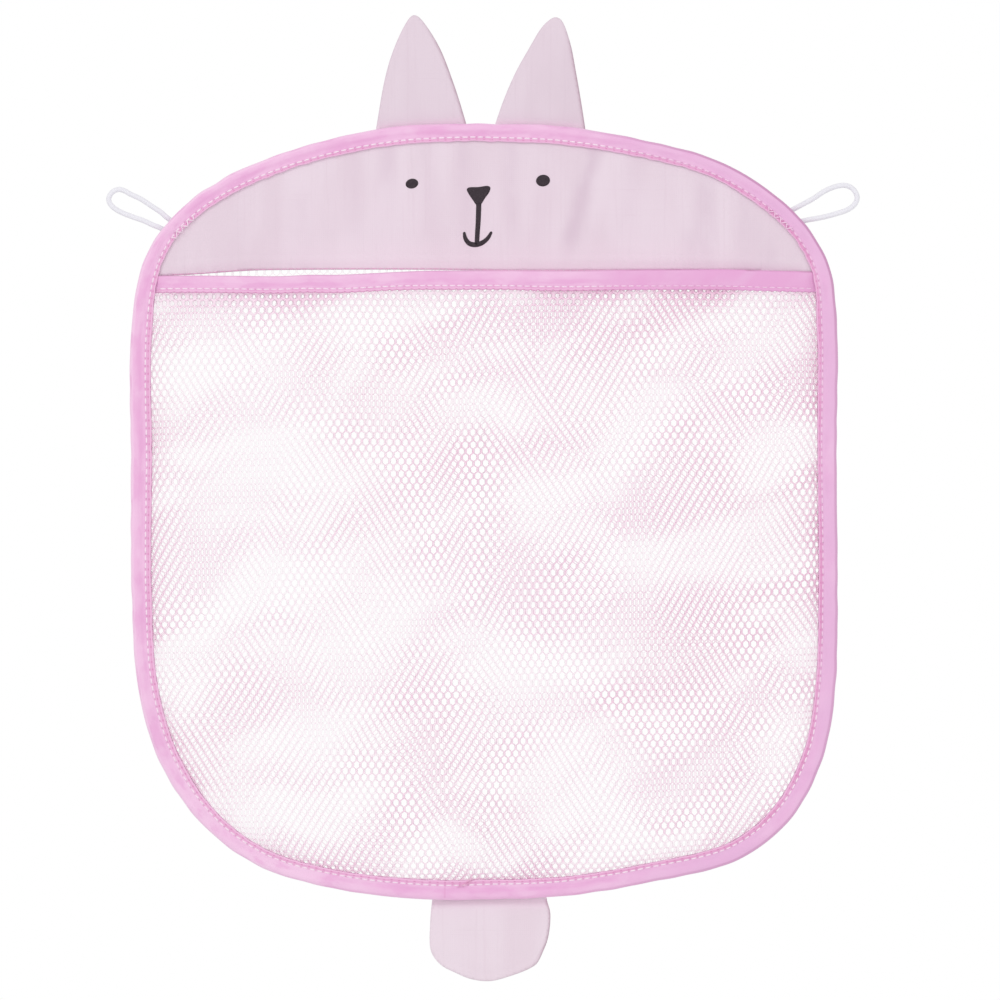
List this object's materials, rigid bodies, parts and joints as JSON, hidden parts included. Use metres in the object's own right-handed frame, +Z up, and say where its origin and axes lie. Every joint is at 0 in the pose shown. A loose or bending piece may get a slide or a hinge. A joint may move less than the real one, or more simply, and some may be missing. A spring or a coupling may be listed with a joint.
{
  "type": "bath toy bag",
  "caption": "Flat net bath toy bag with a cotton animal face, ears and tail tab, a bulging net pocket open at the top, a folded edge tape and cord hanging loops.",
  "frame": {"origin": "on the rear face of the edge tape, in the middle of the bag's top edge and 3 mm below it, where the bag's back lies against a wall", "axes": "+Z up as the bag hangs; -Y to the front, the face and pocket side; +X to the right as the front is seen"},
  "size_m": [0.3505, 0.0289, 0.4493],
  "materials": {
    "edge_tape": "pink satin-weave binding tape",
    "net": "pale pink warp-knit net",
    "cotton": "pale pinkish grey plain-weave cotton",
    "thread": "pale pink sewing thread",
    "cord": "white ribbed elastic cord",
    "ink": "dark screen print"
  },
  "bodies": {
    "bag": {"edge_tape": "edge_tape", "edge_needle_thread": "thread", "edge_bobbin_thread": "thread", "back_net": "net", "face_panel": "cotton", "face_hem_thread": "thread", "left_eye_print": "ink", "right_eye_print": "ink", "muzzle_print": "ink", "left_ear_seam": "cotton", "right_ear_seam": "cotton", "tail_seam": "cotton", "left_loop_upper_end": "cord", "left_loop_lower_end": "cord", "left_loop_tack": "thread", "right_loop_upper_end": "cord", "right_loop_lower_end": "cord", "right_loop_tack": "thread"},
    "pocket": {"pocket_net": "net", "pocket_hem_tape": "edge_tape", "pocket_hem_thread": "thread"},
    "left_ear": {"left_ear_front": "cotton", "left_ear_back": "cotton"},
    "right_ear": {"right_ear_front": "cotton", "right_ear_back": "cotton"},
    "tail": {"tail_front": "cotton", "tail_back": "cotton"},
    "left_loop": {"left_loop": "cord"},
    "right_loop": {"right_loop": "cord"}
  },
  "joints": [
    {"name": "pocket_opens", "type": "hinge", "parent": "bag", "child": "pocket", "pos_m": [0, -0.004, -0.3489], "axis": [1, 0, 0], "range_deg": [0, 10], "stiffness_Nm_per_rad": 0.15},
    {"name": "left_ear_folds", "type": "hinge", "parent": "bag", "child": "left_ear", "pos_m": [-0.03036, 0.00135, 0.00404], "axis": [0.9978, 0, 0.0667], "range_deg": [-90, 90], "stiffness_Nm_per_rad": 0.004},
    {"name": "right_ear_folds", "type": "hinge", "parent": "bag", "child": "right_ear", "pos_m": [0.02532, 0.00135, 0.00405], "axis": [0.9987, 0, -0.0509], "range_deg": [-90, 90], "stiffness_Nm_per_rad": 0.004},
    {"name": "tail_folds", "type": "hinge", "parent": "bag", "child": "tail", "pos_m": [0.00165, 0.00135, -0.36055], "axis": [1, 0, 0], "range_deg": [-90, 90], "stiffness_Nm_per_rad": 0.004},
    {"name": "left_loop_swings", "type": "hinge", "parent": "bag", "child": "left_loop", "pos_m": [-0.15101, 0.00155, -0.04224], "axis": [0.6679, 0, 0.7443], "range_deg": [-90, 90], "stiffness_Nm_per_rad": 0.002},
    {"name": "right_loop_swings", "type": "hinge", "parent": "bag", "child": "right_loop", "pos_m": [0.14691, 0.00155, -0.03869], "axis": [-0.7233, 0, 0.6906], "range_deg": [-90, 90], "stiffness_Nm_per_rad": 0.002}
  ]
}
